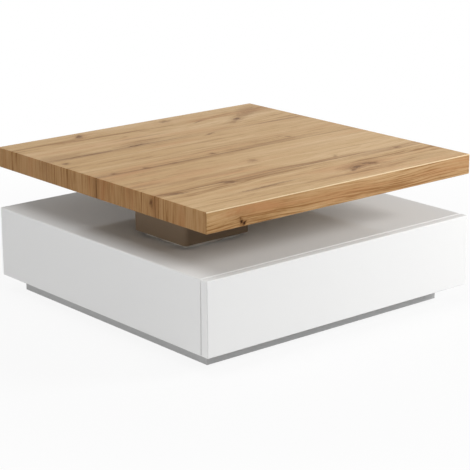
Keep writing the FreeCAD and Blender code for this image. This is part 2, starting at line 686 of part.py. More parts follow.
for side, sign, outwards, inwards in (("left", "-1", "-X", "+X"), ("right", "1", "+X", "-X")):
    def mirroredX(formula):
        return f"{sign} * ({formula})"

    # cabinet channel, open towards the drawer
    channelTip = f"{innerHalf} - runnerFlange"
    channel = newBody(f"channel_{side}", ("0", channelFront, "0"))
    padded(channel, outline(channel, "XZ_Plane", [(mirroredX(x), z) for x, z in (
        (innerHalf, f"{channelLow} - runnerSheet"), (innerHalf, f"{channelHigh} + runnerSheet"),
        (channelTip, f"{channelHigh} + runnerSheet"), (channelTip, channelHigh),
        (channelWeb, channelHigh), (channelWeb, channelLow),
        (channelTip, channelLow), (channelTip, f"{channelLow} - runnerSheet"))], f"channel_{side}_section"),
        channelLength, reverse=True)

    # drawer strip, hooked under the drawer side and folded out over the front roller
    strip = newBody(f"strip_{side}", ("0", frontBack, "0"))
    padded(strip, outline(strip, "XZ_Plane", [(mirroredX(x), z) for x, z in (
        (drawerInner, f"{drawerLow} - runnerSheet"), (stripWeb, f"{drawerLow} - runnerSheet"),
        (stripWeb, flangeLow), (f"{stripWeb} + slideFlange", flangeLow),
        (f"{stripWeb} + slideFlange", flangeHigh), (drawerHalf, flangeHigh),
        (drawerHalf, drawerLow), (drawerInner, drawerLow))], f"strip_{side}_section"),
        "drawerDepth", reverse=True)

    # screws with flush heads through each sheet
    middle = {"cabinet": f"{channelFront} + {channelLength} / 2", "drawer": f"{frontBack} + drawerDepth / 2"}
    sheets = {
        "cabinet": (outwards, mirroredX(channelWeb), f"({channelLow} + {channelHigh}) / 2", cabinetScrews),
        "drawer": (inwards, mirroredX(stripWeb), f"({bottomHigh} + {flangeLow}) / 2", drawerScrews),
    }
    holes = {"cabinet": [], "drawer": []}
    for carrier, (way, faceX, height, screws) in sheets.items():
        for step in (-0.5, 0.5):
            name = f"{carrier}_screw_{side}{len(holes[carrier])}"
            spot = (faceX, f"{middle[carrier]} + {step} * runnerScrewSpacing", height)
            screwSizes = (way, spot, "runnerScrewDiameter", "runnerSheet + runnerScrewGrip",
                          "runnerScrewHead", "runnerSheet", True)
            screws.append(fastener(name, *screwSizes))
            holes[carrier].append(fastener(name + "_hole", *screwSizes, play="holePlay"))
    keep(f"runner_cabinet_{side}", drilled(f"channel_{side}_drilled", channel, holes["cabinet"]))
    keep(f"runner_drawer_{side}", drilled(f"strip_{side}_drilled", strip, holes["drawer"]))
    sideHoles = dowelHoles[outwards] + holes["cabinet"]
    keep(f"carcass_side_{side}", drilled(f"side_{side}", sideBlanks[side], sideHoles))
    x = tuple(sorted((mirroredX(drawerInner), mirroredX(drawerHalf)), key=number))
    drawerSide = board(f"drawer_side_{side}_blank", x, drawerLength, (drawerLow, drawerHigh))
    keep(f"drawer_side_{side}", drilled(f"drawer_side_{side}_cut", drawerSide, [grooveCut] + holes["drawer"]))

    frontSpot = (mirroredX(channelWeb), frontAxleY, frontAxleZ)
    rearSpot = (mirroredX(stripWeb), rearAxleY, rearAxleZ)
    frontRollers.append(roller(f"front_roller_{side}", inwards, frontSpot))
    frontAxles.append(axle(f"front_axle_{side}", inwards, frontSpot))
    rearRollers.append(roller(f"rear_roller_{side}", outwards, rearSpot))
    rearAxles.append(axle(f"rear_axle_{side}", outwards, rearSpot))

group("runner_cabinet_screws", cabinetScrews)
group("runner_drawer_screws", drawerScrews)
group("front_rollers", frontRollers)
group("rear_rollers", rearRollers)
group("front_roller_axles", frontAxles)
group("rear_roller_axles", rearAxles)


# Check every object, then write each sub-part

doc.recompute()
for thing in doc.Objects:
    if "Invalid" in thing.State or "Error" in thing.State:
        raise RuntimeError(f"{thing.Name} failed: {thing.State}")
for label, thing in subParts.items():
    if thing.Shape.isNull() or not thing.Shape.isValid() or not thing.Shape.Solids:
        raise RuntimeError(f"{label} has no valid solid")
shellSection = 4 * (number(pedestalHalf) ** 2 - number(pedestalInner) ** 2)
if subParts["pedestal_shell"].Shape.Volume > shellSection * sizes["pedestalHeight"]:
    raise RuntimeError("the pedestal is not hollow")

os.makedirs("parts", exist_ok=True)
for label, thing in subParts.items():
    thing.Shape.exportStep(f"parts/{label}.step")
    print(f"{label}: {len(thing.Shape.Solids)} solids, {thing.Shape.Volume / 1000:.1f} cm3")
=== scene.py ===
import bmesh
import bpy
import json
import math
from mathutils import Matrix, Vector


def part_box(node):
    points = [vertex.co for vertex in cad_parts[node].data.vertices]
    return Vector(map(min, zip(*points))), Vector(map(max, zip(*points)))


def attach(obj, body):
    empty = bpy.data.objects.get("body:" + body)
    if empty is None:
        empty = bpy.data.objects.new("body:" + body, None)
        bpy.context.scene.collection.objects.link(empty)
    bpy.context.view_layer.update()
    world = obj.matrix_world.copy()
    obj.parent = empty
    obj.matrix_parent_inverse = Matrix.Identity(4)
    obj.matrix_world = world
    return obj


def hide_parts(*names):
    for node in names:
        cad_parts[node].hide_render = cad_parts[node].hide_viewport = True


# Swivel coffee table: planked oak-look board on an off-centre pedestal above a white gloss drawer base.
# Metres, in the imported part's own frame.

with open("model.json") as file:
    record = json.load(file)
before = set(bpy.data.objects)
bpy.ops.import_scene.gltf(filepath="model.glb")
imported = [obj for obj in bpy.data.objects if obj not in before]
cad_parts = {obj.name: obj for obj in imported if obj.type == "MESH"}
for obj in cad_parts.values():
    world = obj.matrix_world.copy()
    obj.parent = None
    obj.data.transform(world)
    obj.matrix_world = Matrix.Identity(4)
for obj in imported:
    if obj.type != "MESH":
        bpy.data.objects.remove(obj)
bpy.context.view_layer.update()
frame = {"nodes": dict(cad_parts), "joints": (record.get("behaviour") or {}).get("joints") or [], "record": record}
cad = frame["nodes"]


# node helpers

def feed(tree, socket, value):
    if isinstance(value, bpy.types.NodeSocket):
        tree.links.new(value, socket)
    else:
        socket.default_value = value


def put(tree, kind, inputs=None, **settings):
    node = tree.nodes.new("ShaderNode" + kind)
    for name, value in settings.items():
        setattr(node, name, value)
    for name, value in (inputs or {}).items():
        feed(tree, node.inputs[name], value)
    return node


def calc(tree, operation, *values):
    node = put(tree, "Math", operation=operation)
    for socket, value in zip(node.inputs, values):
        feed(tree, socket, value)
    return node.outputs[0]


def swing(tree, value, spread, middle=0.0):
    # a value of 0 to 1 becomes a swing of that spread about the middle
    return calc(tree, "MULTIPLY_ADD", calc(tree, "SUBTRACT", value, 0.5), spread, middle)


def fade(tree, value, start, end, low=0.0, high=1.0):
    # smooth step from low at start to high at end, either way round
    steps = {"Value": value, "From Min": start, "From Max": end, "To Min": low, "To Max": high}
    return put(tree, "MapRange", steps, interpolation_type="SMOOTHSTEP").outputs["Result"]


def tint(tree, factor, a, b, mode="MIX"):
    node = put(tree, "Mix", data_type="RGBA", blend_type=mode)
    for place, value in ((0, factor), (6, a), (7, b)):  # the colour sockets of a Mix node
        feed(tree, node.inputs[place], value)
    return node.outputs[2]


def point(tree, x=0.0, y=0.0, z=0.0):
    return put(tree, "CombineXYZ", {"X": x, "Y": y, "Z": z}).outputs[0]


def distance(tree, where):
    return put(tree, "VectorMath", {0: where}, operation="LENGTH").outputs["Value"]


def noise(tree, where, scale, detail=2.0, roughness=0.5):
    sockets = {"Vector": where, "Scale": scale, "Detail": detail, "Roughness": roughness}
    return put(tree, "TexNoise", sockets).outputs["Fac"]


def emboss(tree, shader, height, strength, depth):
    bump = put(tree, "Bump", {"Height": height, "Strength": strength, "Distance": depth})
    feed(tree, shader["Normal"], bump.outputs["Normal"])


def newGroup(name, inputs, outputs):
    group = bpy.data.node_groups.new(name, "ShaderNodeTree")
    for way, sockets in (("INPUT", inputs), ("OUTPUT", outputs)):
        for socketName, kind in sockets.items():
            group.interface.new_socket(socketName, in_out=way, socket_type="NodeSocket" + kind)
    return group, group.nodes.new("NodeGroupInput").outputs, group.nodes.new("NodeGroupOutput").inputs


def useGroup(tree, group, inputs):
    return put(tree, "Group", inputs, node_tree=group).outputs


def newMaterial(name):
    material = bpy.data.materials.new(name)
    material.use_nodes = True
    tree = material.node_tree
    return material, tree, tree.nodes["Principled BSDF"].inputs


def objectPoint(tree):
    return put(tree, "TexCoord").outputs["Object"]


def rgb(red, green, blue):
    return (red, green, blue, 1.0)


pureWhite = rgb(1.0, 1.0, 1.0)


# oak decor: one printed sheet of four planks, laid over the top and folded down the edges

oak = {
    "light": rgb(0.660, 0.470, 0.275),
    "middle": rgb(0.572, 0.382, 0.200),
    "dark": rgb(0.33, 0.180, 0.072),
    "red": rgb(0.555, 0.298, 0.150),
    "stain": rgb(0.30, 0.160, 0.070),
    "knotBrown": rgb(0.185, 0.092, 0.040),
    "knotHalo": rgb(0.33, 0.180, 0.078),
    "hole": rgb(0.050, 0.024, 0.010),
    "seamBrown": rgb(0.165, 0.082, 0.032),
    "paintedLeftShade": rgb(0.920, 0.890, 0.830),               # painted shade and sheen: the sheet darker and yellower towards the left, fading out towards the right
    "paintedShadeFull": -0.40, "paintedShadeEnd": 0.30,
    # painted highlight along the front arris of the top
    "arrisHighlightPaint": rgb(0.87, 0.71, 0.47),
    "darkToMiddle": (0.0, 0.5), "middleToLight": (0.45, 0.95),  # levels of the tone
    "meanTone": 0.58, "plankSpread": 0.16,
    "bands": 1.8, "streaks": 1.4, "mottle": 0.9,        # how far each kind of grain moves the tone
    "fibre": 0.6, "lateWood": -0.14,
    "calm": 0.3, "calmCentre": 1.5, "calmReach": 0.9,   # the two middle planks have less banding
    "redBands": 0.7, "darkLines": 0.5, "poreDark": 0.45,
    "haloFibre": 1.1, "haloLeast": 0.1, "haloShare": 0.5,
    "holeFrom": 1.05, "holeFull": 1.35,                 # the strongest marks open into a hole
    "specular": 0.06,
    "roughness": 0.40, "fibreRoughness": 0.16, "poreRoughness": 0.15,
    "fibreHeight": 0.25, "poreHeight": -0.8, "jointDepth": 1.2, "knotDepth": 0.6,
    "bump": 0.6, "poreDepth": 0.0003,
}

# the top and each fold of the sheet; the edges show more of the fine grain than the top, and carry painted shade
# with a warmer tone, darkest on the sides; the front arris carries a painted highlight
oakFaces = {
    "oakTop": {"red": 0.6},
    # painted shade on the folded edges, darkest on the side edges, together with a warmer tone
    "oakSideEdge": {"foldAxis": "X", "edgeShadeAndWarmth": rgb(0.700, 0.600, 0.505), "bands": 1.05, "fibre": 4.4},
    "oakFrontEdge": {"foldAxis": "Y", "edgeShadeAndWarmth": rgb(0.885, 0.812, 0.735), "bands": 0.85, "fibre": 3.8},
    # the front arris takes a painted highlight
    "oakArrisHighlight": {"arrisHighlightShare": 0.7},
}

# plank joints across the board, and the stretch along it where each is plain to see
oakSeams = {
    "front": {"at": -0.226, "from": -0.50, "to": 0.16, "elsewhere": 0.6},
    "middle": {"at": -0.010, "from": -0.50, "to": 0.02, "elsewhere": 0.55},
    "back": {"at": 0.190, "from": -0.38, "to": -0.05, "elsewhere": 0.35},
}
seamLook = {
    "width": 0.0026, "core": 0.2,
    "stain": 0.026,                     # darker wood beside a joint
    "fadeIn": 0.05, "fadeOut": 0.12,    # how softly the plain stretch begins and ends
    "wander": 0.008,
}

# noise cells per metre along and across the grain; apart takes another slice of the noise,
# and kept gives the levels between which it comes up
oakGrain = {
    "ragged": {"along": 75.0, "across": 150.0, "detail": 3.0, "roughness": 0.6},
    "drift": {"along": 2.2, "across": 5.0, "detail": 2.0},
    "wander": {"along": 4.0, "across": 4.0, "detail": 2.0},
    "sway": {"along": 1.44, "across": 3.2, "detail": 2.0},
    "uneven": {"along": 12.0, "across": 40.0, "detail": 2.0},
    "bands": {"along": 1.1, "across": 17.0, "detail": 3.0, "roughness": 0.55},
    "streaks": {"along": 2.4, "across": 58.0, "detail": 3.0, "roughness": 0.6},
    "mottle": {"along": 14.0, "across": 60.0, "detail": 3.0, "roughness": 0.6},
    "fibre": {"along": 7.0, "across": 300.0, "detail": 4.0, "roughness": 0.6},
    "red": {"along": 2.1, "across": 15.0, "detail": 3.0, "roughness": 0.6, "apart": 40.0,
            "kept": (0.50, 0.68)},
    "lines": {"along": 1.7, "across": 105.0, "detail": 2.0, "apart": 80.0, "kept": (0.62, 0.76)},
    "pores": {"along": 55.0, "across": 1300.0, "detail": 1.0, "kept": (0.60, 0.72)},
}

# growth rings of a log that lies a little askew under each plank
oakRings = {
    "perMetre": 150.0, "uneven": 1.6,
    "plankStep": 0.205, "firstPlankCentre": -0.33,      # mean plank width, middle of the front plank
    "drift": 0.036, "sway": 0.050, "heartSpread": 0.10, "lean": 0.14,
    "depth": 0.03, "depthSpread": 0.04,
    "lateFrom": 0.25, "lateFull": 0.85, "lateEnd": 0.88,
    "poresInLate": 0.6, "poresElsewhere": 0.4,
    "drawStep": 7.31, "drawStart": 2.7,                 # the draw of each plank's own log
}

# what lies over the plain wood, in this order: its colour, its most, and its fade over the streaks
oakLayers = {
    "redBands": {"colour": "red", "most": 1.0},
    "heartwood": {"colour": "red", "most": 0.8, "overStreaks": (0.40, 0.62, 0.15, 1.0)},
    "darkLines": {"colour": "dark", "most": 1.0},
    "jointStain": {"colour": "dark", "most": 1.0, "overStreaks": (0.62, 0.38, 0.05, 0.8)},
    "pores": {"colour": "dark", "most": 1.0},
    "stains": {"colour": "stain", "most": 0.8, "overStreaks": (0.66, 0.34, 0.35, 1.0)},
    "knotHalo": {"colour": "knotHalo", "most": 0.85},
    "knotCore": {"colour": "knotBrown", "most": 0.95},
    "hole": {"colour": "hole", "most": 1.0},
    "joint": {"colour": "seamBrown", "most": 1.0, "overStreaks": (0.35, 0.6, 1.0, 0.55)},
}

# knots and checks: along, across, half length, half width, slope, strength
oakMarks = {
    "backLeftKnot": (-0.188, 0.362, 0.013, 0.011, 0.7, 1.0),
    "backKnot": (0.080, 0.364, 0.016, 0.010, 0.2, 0.55),
    "rightKnot": (0.246, 0.270, 0.011, 0.009, 0.3, 0.95),
    "rightCheck": (0.222, 0.250, 0.022, 0.008, 0.75, 0.3),
    "shortCheck": (0.146, 0.306, 0.024, 0.0035, 0.4, 0.55),
    "backSeamFlare": (-0.136, 0.192, 0.030, 0.006, 0.1, 1.0),
    "backSeamTail": (-0.270, 0.184, 0.065, 0.004, 0.0, 0.8),
    "seamCheck": (0.079, 0.175, 0.018, 0.004, 0.35, 0.65),
    "rightSeamTail": (0.330, 0.184, 0.070, 0.004, 0.0, 0.5),
    "leftPin": (-0.374, 0.147, 0.009, 0.008, 0.0, 0.75),
    "middlePin": (-0.053, 0.004, 0.008, 0.007, 0.0, 0.75),
    "rightPin": (0.203, 0.024, 0.007, 0.006, 0.0, 0.55),
    "leftMiddlePin": (-0.258, -0.006, 0.007, 0.006, 0.0, 0.75),
    "outerMiddlePin": (-0.347, -0.004, 0.007, 0.006, 0.0, 0.7),
    "innerMiddlePin": (-0.180, -0.012, 0.008, 0.005, 0.0, 0.6),
    "softKnot": (-0.029, -0.113, 0.014, 0.012, 0.3, 0.45),
    "frontSeamFlare": (-0.200, -0.232, 0.018, 0.012, -0.3, 0.75),
    "leftFrontFlare": (-0.355, -0.236, 0.026, 0.008, -0.2, 0.75),
    "frontTick": (0.148, -0.206, 0.008, 0.006, 0.8, 0.4),
    "rightFrontPin": (0.321, -0.236, 0.010, 0.007, 0.0, 0.65),
    "bigKnot": (0.160, -0.310, 0.018, 0.0075, -0.4, 1.0),
    "bigKnotArm": (0.113, -0.315, 0.019, 0.0075, 0.1, 1.0),
    "bigKnotTail": (0.089, -0.330, 0.016, 0.007, 0.55, 0.7),
    "frontSmear": (-0.160, -0.317, 0.075, 0.005, 0.05, 0.65),
    "leftEdgeKnot": (-0.418, -0.213, 0.009, 0.006, 0.0, 0.9),
    "edgeHole": (-0.305, -0.437, 0.0045, 0.0048, 0.0, 1.5),
    "edgeHoleSide": (-0.2965, -0.441, 0.0046, 0.0036, 0.4, 1.45),
    "edgeHoleHigh": (-0.308, -0.429, 0.0030, 0.0030, 0.0, 1.0),
}

# soft brown stains without a dark core, laid out the same way
oakStains = {
    "rightDiagonal": (0.285, 0.290, 0.050, 0.010, 0.55, 0.55),
    "rightCorner": (0.350, 0.312, 0.040, 0.014, 0.2, 0.5),
    "rightBackCorner": (0.345, 0.352, 0.030, 0.010, 0.5, 0.5),
    "backSeamShade": (-0.115, 0.212, 0.035, 0.008, 0.1, 0.6),
    "leftSeamShade": (-0.350, 0.205, 0.040, 0.012, 0.0, 0.6),
    "backDots": (-0.080, 0.258, 0.040, 0.003, 0.0, 0.6),
    "thirdBand": (-0.020, 0.055, 0.160, 0.009, 0.0, 0.12),
    "middleSeamLine": (0.140, 0.000, 0.080, 0.0045, 0.03, 0.75),
    "middleSeamShade": (-0.280, -0.008, 0.065, 0.007, 0.0, 0.6),
    "leftLowBand": (-0.370, -0.139, 0.030, 0.005, 0.0, 0.6),
    "secondLowBand": (-0.240, -0.163, 0.075, 0.006, 0.0, 0.45),
    "frontWaveUpper": (0.040, -0.215, 0.075, 0.006, -0.02, 0.7),
    "frontWaveLower": (-0.110, -0.242, 0.075, 0.005, 0.03, 0.75),
    "frontSeamRight": (0.270, -0.238, 0.075, 0.006, 0.0, 0.9),
    "frontLowShade": (0.010, -0.350, 0.060, 0.004, -0.03, 0.4),
    "bigKnotHalo": (0.136, -0.312, 0.034, 0.013, 0.1, 0.65),
    "bigKnotSkirt": (0.240, -0.345, 0.070, 0.008, -0.05, 0.45),
    "edgeHoleSkirt": (-0.305, -0.428, 0.018, 0.006, 0.0, 0.5),
    "frontEdgeFarShade": (0.330, -0.424, 0.075, 0.012, 0.0, 0.12),
}

# red heartwood, laid out the same way
oakReds = {
    "backLeft": (-0.190, 0.345, 0.030, 0.010, 0.3, 0.6),
    "leftMiddle": (-0.330, -0.022, 0.040, 0.007, 0.0, 0.6),
    "leftFront": (-0.390, -0.226, 0.030, 0.008, 0.0, 0.6),
    "innerFront": (-0.130, -0.176, 0.045, 0.007, 0.0, 0.6),
    "frontMiddle": (0.090, -0.352, 0.060, 0.008, 0.0, 0.5),
    "frontEdgeStart": (-0.270, -0.418, 0.040, 0.009, -0.05, 0.55),
    "frontEdgeHeart": (-0.060, -0.424, 0.130, 0.007, -0.02, 0.48),
    "frontEdgeEnd": (0.240, -0.430, 0.120, 0.007, 0.02, 0.65),
}

knot = {
    "coreEnd": 1.5, "coreFull": 0.2, "haloEnd": 3.2, "haloFull": 0.5,   # in half sizes of the mark
    "push": 0.75, "pushFall": -0.30,
    "ragged": 2.6,
}


def makeKnotGroup():
    group, given, out = newGroup(
        "oakKnot",
        {"Along": "Float", "Across": "Float", "At Along": "Float", "At Across": "Float",
         "Length": "Float", "Width": "Float", "Slope": "Float", "Ragged": "Float"},
        {"Core": "Float", "Halo": "Float", "Push": "Float"})
    along = calc(group, "SUBTRACT", given["Along"], given["At Along"])
    across = calc(group, "SUBTRACT", given["Across"], given["At Across"])
    across = calc(group, "SUBTRACT", across, calc(group, "MULTIPLY", along, given["Slope"]))
    spot = point(group, calc(group, "DIVIDE", along, given["Length"]),
                 calc(group, "DIVIDE", across, given["Width"]))
    reach = calc(group, "ADD", distance(group, spot), given["Ragged"])
    feed(group, out["Core"], fade(group, reach, knot["coreEnd"], knot["coreFull"]))
    feed(group, out["Halo"], fade(group, reach, knot["haloEnd"], knot["haloFull"]))
    fall = calc(group, "MULTIPLY", calc(group, "MULTIPLY", reach, reach), knot["pushFall"])
    lift = calc(group, "MULTIPLY", across, calc(group, "EXPONENT", fall))
    feed(group, out["Push"], calc(group, "MULTIPLY", lift, knot["push"]))
    return group


def makeOakGroup():
    group, given, out = newGroup(
        "oakSheet",
        {"Along": "Float", "Across": "Float", "Bands": "Float", "Fibre": "Float", "Red": "Float"},
        {"Color": "Color", "Roughness": "Float", "Height": "Float"})
    along, across = given["Along"], given["Across"]
    knotGroup = makeKnotGroup()

    def grainNoise(name, level, layer=0.0):
        plan = oakGrain[name]
        where = point(group, calc(group, "MULTIPLY", along, plan["along"]),
                      calc(group, "MULTIPLY", level, plan["across"]), layer)
        return noise(group, where, 1.0, plan["detail"], plan.get("roughness", 0.5))

    def placeMark(sizes, level):
        places = dict(zip(("At Along", "At Across", "Length", "Width", "Slope"), sizes))
        return useGroup(group, knotGroup, {"Along": along, "Across": level, "Ragged": ragged, **places})

    def softMarks(marks):
        total = 0.0
        for *sizes, strength in marks.values():
            total = calc(group, "MULTIPLY_ADD", placeMark(sizes, drifted)["Halo"], strength, total)
        return total

    # the grain drifts across the board; knots darken the sheet and push the grain round them
    ragged = swing(group, grainNoise("ragged", across), knot["ragged"])
    drifted = swing(group, grainNoise("drift", across), oakRings["drift"], across)
    core, halo, grainAcross = 0.0, 0.0, drifted
    for *sizes, strength in oakMarks.values():
        mark = placeMark(sizes, across)
        core = calc(group, "MULTIPLY_ADD", mark["Core"], strength, core)
        halo = calc(group, "MULTIPLY_ADD", mark["Halo"], oak["haloShare"] * strength, halo)
        grainAcross = calc(group, "SUBTRACT", grainAcross, mark["Push"])

    # the joints wander a little, as a printed joint does
    jointAcross = swing(group, grainNoise("wander", across), seamLook["wander"], across)
    plank, joint, stain = 0.0, 0.0, 0.0
    for seam in oakSeams.values():
        plank = calc(group, "ADD", plank, calc(group, "GREATER_THAN", jointAcross, seam["at"]))
        gap = calc(group, "ABSOLUTE", calc(group, "SUBTRACT", jointAcross, seam["at"]))
        begin = fade(group, along, seam["from"] - seamLook["fadeIn"], seam["from"] + seamLook["fadeIn"])
        end = fade(group, along, seam["to"] + seamLook["fadeOut"], seam["to"] - seamLook["fadeIn"])
        plain = calc(group, "MULTIPLY", begin, end)
        plain = calc(group, "MULTIPLY_ADD", plain, 1.0 - seam["elsewhere"], seam["elsewhere"])
        line = fade(group, gap, seamLook["width"], seamLook["core"] * seamLook["width"])
        joint = calc(group, "ADD", joint, calc(group, "MULTIPLY", line, plain))
        stain = calc(group, "MULTIPLY_ADD", fade(group, gap, seamLook["stain"], 0.0), plain, stain)
    plankDraw = calc(group, "MULTIPLY_ADD", plank, oakRings["drawStep"], oakRings["drawStart"])
    draw = put(group, "TexWhiteNoise", {"W": plankDraw}, noise_dimensions="1D")
    pick = put(group, "SeparateColor", {"Color": draw.outputs["Color"]}).outputs

    # growth rings
    swayLayer = calc(group, "MULTIPLY", pick[0], oakGrain["sway"]["across"])
    sway = swing(group, grainNoise("sway", grainAcross, swayLayer), oakRings["sway"])
    centre = calc(group, "MULTIPLY_ADD", plank, oakRings["plankStep"], oakRings["firstPlankCentre"])
    fromHeart = calc(group, "ADD", calc(group, "SUBTRACT", grainAcross, centre), sway)
    fromHeart = swing(group, pick[1], oakRings["heartSpread"], fromHeart)
    lean = calc(group, "MULTIPLY", along, swing(group, pick[2], oakRings["lean"]))
    depth = calc(group, "MULTIPLY_ADD", pick[0], oakRings["depthSpread"], oakRings["depth"])
    radius = distance(group, point(group, fromHeart, calc(group, "ADD", depth, lean)))
    unevenLayer = calc(group, "MULTIPLY", pick[1], oakGrain["uneven"]["across"])
    uneven = calc(group, "MULTIPLY", grainNoise("uneven", radius, unevenLayer), oakRings["uneven"])
    rings = calc(group, "FRACT", calc(group, "MULTIPLY_ADD", radius, oakRings["perMetre"], uneven))
    lateWood = calc(group, "MULTIPLY", fade(group, rings, oakRings["lateFrom"], oakRings["lateFull"]),
                    fade(group, rings, 1.0, oakRings["lateEnd"]))

    # broad bands, streaks, fibre, red heartwood, thin dark lines and pores all run with the grain
    def alongGrain(name):
        plan = oakGrain[name]
        layer = calc(group, "ADD", plank, plan["apart"]) if "apart" in plan else plank
        shade = grainNoise(name, grainAcross, layer)
        return fade(group, shade, *plan["kept"]) if "kept" in plan else shade

    streaks, fibre = alongGrain("streaks"), alongGrain("fibre")
    inLate = calc(group, "MULTIPLY_ADD", lateWood, oakRings["poresInLate"], oakRings["poresElsewhere"])
    pores = calc(group, "MULTIPLY", alongGrain("pores"), inLate)

    # tone of the plain wood
    banding = swing(group, alongGrain("bands"), oak["bands"])
    banding = swing(group, streaks, oak["streaks"], banding)
    banding = swing(group, alongGrain("mottle"), oak["mottle"], banding)
    calmPlank = calc(group, "COMPARE", plank, oak["calmCentre"], oak["calmReach"])
    banding = calc(group, "MULTIPLY", banding, calc(group, "MULTIPLY_ADD", calmPlank, -oak["calm"], 1.0))
    tone = calc(group, "MULTIPLY_ADD", banding, given["Bands"], oak["meanTone"])
    tone = calc(group, "MULTIPLY_ADD", swing(group, fibre, given["Fibre"]), oak["fibre"], tone)
    tone = calc(group, "MULTIPLY_ADD", lateWood, oak["lateWood"], tone)
    tone = swing(group, pick[2], oak["plankSpread"], tone)
    colour = tint(group, fade(group, tone, *oak["darkToMiddle"]), oak["dark"], oak["middle"])
    colour = tint(group, fade(group, tone, *oak["middleToLight"]), colour, oak["light"])

    redShare = calc(group, "MULTIPLY", given["Red"], oak["redBands"])
    lineShare = calc(group, "MULTIPLY", given["Bands"], oak["darkLines"])
    haloGrain = calc(group, "MULTIPLY_ADD", fibre, oak["haloFibre"], oak["haloLeast"])
    shares = {
        "redBands": calc(group, "MULTIPLY", alongGrain("red"), redShare),
        "heartwood": softMarks(oakReds),
        "darkLines": calc(group, "MULTIPLY", alongGrain("lines"), lineShare),
        "jointStain": stain,
        "pores": calc(group, "MULTIPLY", pores, oak["poreDark"]),
        "stains": softMarks(oakStains),
        "knotHalo": calc(group, "MULTIPLY", halo, haloGrain),
        "knotCore": core,
        "hole": fade(group, core, oak["holeFrom"], oak["holeFull"]),
        "joint": joint,
    }
    for name, layer in oakLayers.items():
        if "overStreaks" in layer:
            shares[name] = calc(group, "MULTIPLY", shares[name], fade(group, streaks, *layer["overStreaks"]))
        share = calc(group, "MINIMUM", shares[name], layer["most"])
        colour = tint(group, share, colour, oak[layer["colour"]])
    # painted shade and sheen: darker and yellower towards the left, plain from the middle rightwards
    paintedShadeTint = tint(group, fade(group, along, oak["paintedShadeFull"], oak["paintedShadeEnd"]), oak["paintedLeftShade"], pureWhite)
    feed(group, out["Color"], tint(group, 1.0, colour, paintedShadeTint, "MULTIPLY"))

    rough = calc(group, "MULTIPLY_ADD", fibre, oak["fibreRoughness"], oak["roughness"])
    feed(group, out["Roughness"], calc(group, "MULTIPLY_ADD", pores, oak["poreRoughness"], rough))
    height = calc(group, "MULTIPLY", pores, oak["poreHeight"])
    height = calc(group, "MULTIPLY_ADD", fibre, oak["fibreHeight"], height)
    height = calc(group, "SUBTRACT", height, calc(group, "MULTIPLY", shares["joint"], oak["jointDepth"]))
    height = calc(group, "SUBTRACT", height, calc(group, "MULTIPLY", core, oak["knotDepth"]))
    feed(group, out["Height"], height)
    return group


def makeOak(name, sheet, topLevel, foldAxis=None, edgeShadeAndWarmth=None, bands=1.0, fibre=1.0, red=1.0, arrisHighlightShare=0.0):
    # without a fold it is the flat top; X or Y carries the sheet on down that edge
    material, tree, shader = newMaterial(name)
    place = put(tree, "SeparateXYZ", {"Vector": objectPoint(tree)}).outputs
    places = {"X": place["X"], "Y": place["Y"]}
    if foldAxis:
        down = calc(tree, "SUBTRACT", topLevel, place["Z"])
        outward = calc(tree, "SIGN", place[foldAxis])
        places[foldAxis] = calc(tree, "ADD", place[foldAxis], calc(tree, "MULTIPLY", outward, down))
    decor = useGroup(tree, sheet, {
        "Along": places["X"], "Across": places["Y"], "Bands": bands, "Fibre": fibre, "Red": red})
    colour = decor["Color"]
    # painted shade on the folded edges, together with a warmer tone
    if edgeShadeAndWarmth:
        colour = tint(tree, 1.0, colour, edgeShadeAndWarmth, "MULTIPLY")
    # painted highlight mixed over the wood on the front arris
    if arrisHighlightShare:
        colour = tint(tree, arrisHighlightShare, colour, oak["arrisHighlightPaint"])
    shader["Specular IOR Level"].default_value = oak["specular"]
    feed(tree, shader["Base Color"], colour)
    feed(tree, shader["Roughness"], decor["Roughness"])
    emboss(tree, shader, decor["Height"], oak["bump"], oak["poreDepth"])
    return material


# shared surface tone: faint clouds in colour and gloss, and a fine skin for the bump

def makeToneGroup():
    group, given, out = newGroup(
        "surfaceTone",
        {"Color": "Color", "Cloud Size": "Float", "Cloud": "Float", "Grain Size": "Float",
         "Grain": "Float", "Roughness": "Float", "Gloss Spread": "Float"},
        {"Color": "Color", "Roughness": "Float", "Height": "Float"})
    where = objectPoint(group)
    clouds = noise(group, where, calc(group, "DIVIDE", 1.0, given["Cloud Size"]), 3.0)
    grain = noise(group, where, calc(group, "DIVIDE", 1.0, given["Grain Size"]), 2.0)
    shade = swing(group, grain, given["Grain"], swing(group, clouds, given["Cloud"], 1.0))
    grey = put(group, "CombineColor", {"Red": shade, "Green": shade, "Blue": shade}).outputs[0]
    feed(group, out["Color"], tint(group, 1.0, given["Color"], grey, "MULTIPLY"))
    feed(group, out["Roughness"], swing(group, clouds, given["Gloss Spread"], given["Roughness"]))
    feed(group, out["Height"], grain)
    return group


def makeToned(name, tone, look):
    material, tree, shader = newMaterial(name)
    skin = useGroup(tree, tone, {
        "Color": look["colour"], "Cloud Size": look["cloudSize"], "Cloud": look["cloud"],
        "Grain Size": look["grainSize"], "Grain": look["grain"], "Roughness": look["roughness"],
        "Gloss Spread": look["glossSpread"]})
    feed(tree, shader["Base Color"], skin["Color"])
    feed(tree, shader["Roughness"], skin["Roughness"])
    emboss(tree, shader, skin["Height"], look["bump"], look["depth"])
    shader["Metallic"].default_value = look.get("metallic", 0.0)
    shader["Specular IOR Level"].default_value = look.get("specular", 0.5)
    return material


